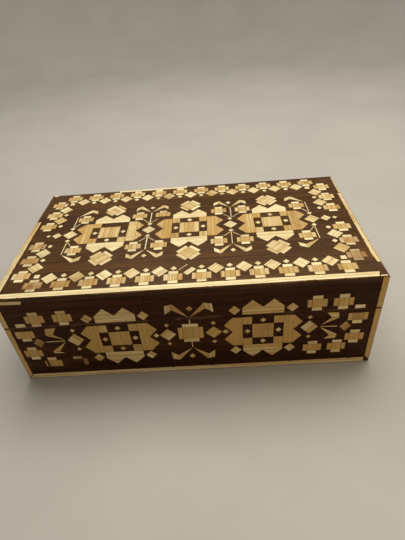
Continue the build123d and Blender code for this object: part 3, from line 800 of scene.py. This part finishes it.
class StrawSheet:
    """Builds one piece from all the straw of a node."""

    def __init__(self, node, kind, settings):
        self.node = node
        self.kind = kind
        self.settings = settings
        self.draw = random.Random(f"{node} {settings.seed}")
        self.mesh = bmesh.new()
        layers = self.mesh.verts.layers
        layers.int.new("ribbon")
        for name in ("straw_run", "straw_hue"):
            layers.float_vector.new(name)
        self.number = layers.int["ribbon"]
        self.ribbons = []

    def scorch(self, face_name, middle):
        for face, place, reach, amount in SCORCHED:
            if face == face_name and (middle - Vector(place) * MM).length < reach * MM:
                return amount
        return self.draw.choice(STRAY_BROWN)

    def lay(self, face_name, outline):
        """Cuts one piece into straws and lays them."""
        draw, settings, edging = self.draw, self.settings, self.node.endswith("_edging")
        grain = grain_direction(self.kind.grain, outline, draw)
        across = Vector((-grain.y, grain.x))
        middle = sum(outline, Vector((0, 0))) / len(outline)
        if edging:
            outline = hand_cut(outline, settings.knife_slip, EDGING_STEP, draw, chip=settings.chip)
        else:
            outline = [slipped(face_name, p) for p in outline]
            outline = hand_cut(outline, settings.knife_slip, PIECE_STEP, draw)
        reach = [p.dot(across) for p in outline]
        width = settings.strip_width if edging else settings.ribbon_width
        count = max(1, round((max(reach) - min(reach)) / width))
        pitch = (max(reach) - min(reach)) / count
        cuts = [
            (across, min(reach) + pitch * (i + draw.uniform(-0.12, 0.12))) for i in range(1, count)
        ]
        run = [p.dot(grain) for p in outline]
        place = min(run) + settings.longest_straw * draw.uniform(0.5, 1.0)
        while edging and place < max(run) - SHORTEST_END:
            cuts.append((grain, place))
            place += settings.longest_straw * draw.uniform(0.7, 1.0)
        # The walls' gold paints their straw darker than the top's, most of all on the front:
        # painted shade.
        tint = self.kind.tint + FACES[face_name].gold + draw.uniform(-1, 1) * self.kind.spread
        if edging:  # the strips along the width have bleached, those along the depth and up haven't
            tint += 0.2 if abs(grain.y) > 0.5 else -0.2
        toast = self.scorch(face_name, middle)
        for points in sliced(outline, cuts):
            self.lay_ribbon(face_name, points, grain, across, tint, toast)

    def lay_ribbon(self, face_name, points, grain, across, tint, toast):
        draw, settings = self.draw, self.settings
        points = drawn_in(points, settings.ribbon_gap / 2)
        if area_of(points) < SMALLEST_STRAW:
            return
        face = FACES[face_name]
        reach = [p.dot(across) for p in points]
        half = (max(reach) - min(reach)) / 2
        ribbon = Ribbon(
            face=face,
            grain=face.run * grain.x + face.rise * grain.y,
            across=face.run * across.x + face.rise * across.y,
            middle=(max(reach) + min(reach)) / 2,
            half=half,
            seed=draw.uniform(0, 900),
            tint=tint + draw.uniform(-0.17, 0.17),
            toast=min(1.0, max(0.0, toast + draw.uniform(-0.2, 0.1))),
            lift=draw.uniform(-0.02, 0.0) * MM,
            lean=draw.uniform(-0.02, 0.02) * MM,
        )
        creases = creases_of(half)[1:-1]
        for part in sliced(points, [(across, ribbon.middle + half * at) for at in creases]):
            corners = []
            for p in part:
                place = face.run * p.x + face.rise * p.y + face.out * face.plane
                corners.append(self.mesh.verts.new(place))
                corners[-1][self.number] = len(self.ribbons)
            self.mesh.faces.new(corners)
        self.ribbons.append(ribbon)

    def finish(self):
        """Gives the flat straws their rounded tops, sides and undersides, and their attributes."""
        mesh, settings = self.mesh, self.settings
        bmesh.ops.remove_doubles(mesh, verts=mesh.verts[:], dist=SAME_PLACE)
        flipped = []
        for face in mesh.faces:
            face.normal_update()
            if face.normal.dot(self.ribbons[face.verts[0][self.number]].face.out) < 0:
                flipped.append(face)
        bmesh.ops.reverse_faces(mesh, faces=flipped)
        bmesh.ops.inset_region(
            mesh,
            faces=mesh.faces[:],
            thickness=settings.rounding,
            use_boundary=True,
            use_even_offset=True,
        )
        edges = [edge for edge in mesh.edges if edge.is_boundary]
        shoulder = {vert for edge in edges for vert in edge.verts}
        longest = LONGEST_MITRE * settings.rounding
        for vert in mesh.verts:
            if vert in shoulder:
                continue
            near = [e.other_vert(vert) for e in vert.link_edges if e.other_vert(vert) in shoulder]
            if near and (vert.co - near[0].co).length > longest:
                vert.co = near[0].co + (vert.co - near[0].co).normalized() * longest
        foot = bmesh.ops.extrude_edge_only(mesh, edges=edges)["geom"]
        feet = {item for item in foot if isinstance(item, bmesh.types.BMVert)}
        open_edges = [e for e in foot if isinstance(e, bmesh.types.BMEdge) and e.is_boundary]
        bmesh.ops.holes_fill(mesh, edges=open_edges, sides=0)
        run, hue = (mesh.verts.layers.float_vector[name] for name in ("straw_run", "straw_hue"))
        for vert in mesh.verts:
            ribbon = self.ribbons[vert[self.number]]
            off = vert.co.dot(ribbon.across) - ribbon.middle
            side = off / max(ribbon.half, 0.05 * MM)
            vert[run] = (vert.co.dot(ribbon.grain), off, ribbon.seed)
            # The third value marks the rounded edges and sides, which the straw material darkens as
            # painted shade.
            vert[hue] = (ribbon.tint, ribbon.toast, float(vert in feet or vert in shoulder))
            fall = settings.crown * fall_of_dome(side, creases_of(ribbon.half))
            height = straw_thickness - fall + ribbon.lift + ribbon.lean * side
            if vert in feet:
                height = 0
            elif vert in shoulder:
                height -= settings.rounding
            vert.co += ribbon.face.out * min(height, straw_thickness)
        bmesh.ops.recalc_face_normals(mesh, faces=mesh.faces)
        name = "straw_" + self.node
        data = bpy.data.meshes.new(name)
        mesh.to_mesh(data)
        mesh.free()
        data.polygons.foreach_set("use_smooth", [True] * len(data.polygons))
        data.set_sharp_from_angle(angle=SHARP_FROM)
        piece = bpy.data.objects.new(name, data)
        bpy.context.scene.collection.objects.link(piece)
        data.materials.append(straw(slot_of[self.node]))
        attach(piece, frame["nodes"][self.node]["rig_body"])
        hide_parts(self.node)


def lay_straw(prefix):
    """Replaces every straw node whose name starts with prefix by a piece made straw by straw."""
    settings = bpy.context.scene.inlaid_box_straw
    noise.seed_set(settings.seed)
    laid = 0
    for node in sorted(frame["nodes"]):
        kind = KINDS.get(node.removeprefix(prefix)) if node.startswith(prefix) else None
        if kind is None:
            continue
        sheet = StrawSheet(node, kind, settings)
        for face_name, outline in outlines(node):
            sheet.lay(face_name, outline)
        sheet.finish()
        laid += 1
    if not laid:
        raise RuntimeError(f"no straw node starts with {prefix}")


# ---- Operators ---------------------------------------------------------------------------------


class INLAIDBOX_OT_boards(bpy.types.Operator):
    """Stain and lacquer the boards, the rails and the lid's panel"""

    bl_idname = "inlaid_box.boards"
    bl_label = "Boards and rails"

    def execute(self, context):
        for node in BASE_BOARDS + LID_RAILS:
            dress(node, stained_wood(along_depth=node in GRAIN_ALONG_DEPTH))
        dress("lid_top_panel", stained_wood(faded=True))
        return {"FINISHED"}


class INLAIDBOX_OT_bottom(bpy.types.Operator):
    """Sand the bottom panel"""

    bl_idname = "inlaid_box.bottom"
    bl_label = "Bottom panel"

    def execute(self, context):
        dress("bottom_panel", panel_wood())
        return {"FINISHED"}


class INLAIDBOX_OT_lid_top_straw(bpy.types.Operator):
    """Lay the straw on top of the lid"""

    bl_idname = "inlaid_box.lid_top_straw"
    bl_label = "Straw on top of the lid"

    def execute(self, context):
        lay_straw("lid_top_")
        return {"FINISHED"}


class INLAIDBOX_OT_lid_wall_straw(bpy.types.Operator):
    """Lay the straw on the walls of the lid"""

    bl_idname = "inlaid_box.lid_wall_straw"
    bl_label = "Straw on the lid's walls"

    def execute(self, context):
        lay_straw("lid_wall_")
        return {"FINISHED"}


class INLAIDBOX_OT_base_wall_straw(bpy.types.Operator):
    """Lay the straw on the walls of the base"""

    bl_idname = "inlaid_box.base_wall_straw"
    bl_label = "Straw on the base's walls"

    def execute(self, context):
        lay_straw("base_wall_")
        return {"FINISHED"}


class INLAIDBOX_OT_hinges(bpy.types.Operator):
    """Finish the brass leaves and the steel pins of the hinges"""

    bl_idname = "inlaid_box.hinges"
    bl_label = "Hinges"

    def execute(self, context):
        look = context.scene.inlaid_box_metal
        brass = metal("worn brass", look.brass, look.tarnish, 0.24)
        steel = metal("drawn steel", look.steel, look.rust, 0.3)
        for node in HINGE_NODES:
            if node not in SCREW_NODES:
                dress(node, steel if node.endswith("_pin") else brass)
        return {"FINISHED"}


class INLAIDBOX_OT_fasteners(bpy.types.Operator):
    """Finish the screws and the brads"""

    bl_idname = "inlaid_box.fasteners"
    bl_label = "Screws and brads"

    def execute(self, context):
        look = context.scene.inlaid_box_metal
        dull = metal("dull steel", look.steel, look.rust, 0.36)
        for node in SCREW_NODES + ["bottom_brads"]:
            dress(node, dull)
        return {"FINISHED"}


def area_light(name, place, target, width, depth, energy, tone):
    light = bpy.data.lights.new(name, "AREA")
    light.shape = "RECTANGLE"
    light.size, light.size_y = width, depth
    light.energy = energy
    light.color = tone
    lamp = bpy.data.objects.new(name, light)
    bpy.context.scene.collection.objects.link(lamp)
    lamp.location = place
    lamp.rotation_euler = (Vector(target) - Vector(place)).to_track_quat("-Z", "Y").to_euler()


FLOOR_DROP = 0.2 * MM  # keeps the floor just clear of the underside
FLOOR_CLEARANCE = 2 * MM  # light that starts nearer than this passes the floor
CAMERA_PLACE = (22.7 * MM, -262.4 * MM, 238.6 * MM)
CAMERA_TURN = (52.402, 4.412, -0.172)  # degrees


def round_floor(reach):
    """A round floor that turns up into a wall all round in a wide curve."""
    bend, wall, steps, sides = 0.45, 0.75 * reach, 14, 72
    profile = [(0.3 * reach, 0.0), (reach - bend, 0.0)]
    for i in range(1, steps + 1):
        angle = math.pi / 2 * i / steps
        profile.append((reach - bend + bend * math.sin(angle), bend * (1 - math.cos(angle))))
    profile.append((reach, wall))
    made = bmesh.new()
    middle = made.verts.new((0, 0, 0))
    rings = []
    for radius, height in profile:
        turns = [2 * math.pi * i / sides for i in range(sides)]
        ring = [(radius * math.cos(t), radius * math.sin(t), height) for t in turns]
        rings.append([made.verts.new(place) for place in ring])
    for i in range(sides):
        after = (i + 1) % sides
        made.faces.new((middle, rings[0][i], rings[0][after])).smooth = True
        for low, high in zip(rings, rings[1:]):
            made.faces.new((low[i], high[i], high[after], low[after])).smooth = True
    mesh = bpy.data.meshes.new("floor_and_backdrop")
    made.to_mesh(mesh)
    made.free()
    floor = bpy.data.objects.new("floor_and_backdrop", mesh)
    floor.location.z = -FLOOR_DROP
    bpy.context.scene.collection.objects.link(floor)
    return floor


class INLAIDBOX_OT_stage(bpy.types.Operator):
    """Set the floor, the lights and the camera"""

    bl_idname = "inlaid_box.stage"
    bl_label = "Stage"

    def execute(self, context):
        look = context.scene.inlaid_box_stage
        material, g, shader, place = new_material("pale floor")
        cloudy = g.noise(place, detail=3, scale=9)
        floor_colour = tuple(look.floor)
        darker = tuple(c * 0.93 for c in floor_colour[:3]) + (1.0,)
        g.feed(shader["Base Color"], g.mix(g.step(cloudy, 0.3, 0.7), floor_colour, darker))
        shader["Roughness"].default_value = 0.7
        # Seen from below, the floor is clear, and light from below reaches what stands on it.
        surface = g.node("ShaderNodeMixShader")
        behind = g.node("ShaderNodeNewGeometry").outputs["Backfacing"]
        ray = g.node("ShaderNodeLightPath").outputs["Ray Length"]
        close = g.math("LESS_THAN", ray, FLOOR_CLEARANCE)
        g.feed(surface.inputs[0], g.math("MAXIMUM", behind, close))
        output = next(node for node in g.tree.nodes if node.bl_idname == "ShaderNodeOutputMaterial")
        g.feed(surface.inputs[1], output.inputs["Surface"].links[0].from_socket)
        g.feed(surface.inputs[2], g.node("ShaderNodeBsdfTransparent").outputs[0])
        g.feed(output.inputs["Surface"], surface.outputs[0])
        floor = round_floor(look.floor_reach)
        floor.data.materials.append(material)

        warm, amber = (1, 0.97, 0.91), (1, 0.78, 0.5)
        area_light("key", (0.1, 0.35, 1.05), (0, 0.02, 0.05), 1.1, 0.8, look.key_power, warm)
        area_light("fill", (0.56, -0.36, 0.32), (0.1, 0, 0.04), 0.34, 0.3, look.fill_power, amber)
        world = bpy.data.worlds.new("soft sky")
        world.use_nodes = True
        sky = world.node_tree.nodes["Background"]
        sky.inputs["Color"].default_value = (0.95, 0.97, 1.0, 1.0)
        sky.inputs["Strength"].default_value = look.sky
        context.scene.world = world

        camera = bpy.data.cameras.new("camera")
        camera.lens = look.focal_length
        camera.clip_start, camera.clip_end = 0.02, 20
        viewer = bpy.data.objects.new("camera", camera)
        viewer.location = CAMERA_PLACE
        viewer.rotation_euler = Euler([math.radians(turn) for turn in CAMERA_TURN])
        context.scene.collection.objects.link(viewer)
        context.scene.camera = viewer
        context.scene.view_settings.view_transform = "Standard"
        return {"FINISHED"}


OPERATORS = (
    INLAIDBOX_OT_boards,
    INLAIDBOX_OT_bottom,
    INLAIDBOX_OT_lid_top_straw,
    INLAIDBOX_OT_lid_wall_straw,
    INLAIDBOX_OT_base_wall_straw,
    INLAIDBOX_OT_hinges,
    INLAIDBOX_OT_fasteners,
    INLAIDBOX_OT_stage,
)
SETTINGS = {
    "inlaid_box_straw": StrawSettings,
    "inlaid_box_wood": WoodSettings,
    "inlaid_box_metal": MetalSettings,
    "inlaid_box_stage": StageSettings,
}


class INLAIDBOX_PT_panel(bpy.types.Panel):
    """The steps of the box, and their sizes and colours"""

    bl_idname = "INLAIDBOX_PT_panel"
    bl_label = "Inlaid box"
    bl_space_type = "VIEW_3D"
    bl_region_type = "UI"
    bl_category = "Inlaid box"

    def draw(self, context):
        for operator in OPERATORS:
            self.layout.operator(operator.bl_idname)
        for name, group in SETTINGS.items():
            box = self.layout.box()
            box.label(text=group.__doc__)
            for setting in group.__annotations__:
                box.prop(getattr(context.scene, name), setting)


def register():
    for group in SETTINGS.values():
        bpy.utils.register_class(group)
    for operator in OPERATORS:
        bpy.utils.register_class(operator)
    bpy.utils.register_class(INLAIDBOX_PT_panel)
    for name, group in SETTINGS.items():
        setattr(bpy.types.Scene, name, PointerProperty(type=group))


def unregister():
    for name in SETTINGS:
        delattr(bpy.types.Scene, name)
    bpy.utils.unregister_class(INLAIDBOX_PT_panel)
    for operator in reversed(OPERATORS):
        bpy.utils.unregister_class(operator)
    for group in reversed(SETTINGS.values()):
        bpy.utils.unregister_class(group)


def main():
    register()
    bpy.ops.inlaid_box.stage()
    bpy.ops.inlaid_box.boards()
    bpy.ops.inlaid_box.bottom()
    bpy.ops.inlaid_box.lid_top_straw()
    bpy.ops.inlaid_box.lid_wall_straw()
    bpy.ops.inlaid_box.base_wall_straw()
    bpy.ops.inlaid_box.hinges()
    bpy.ops.inlaid_box.fasteners()


if __name__ == "__main__":
    main()
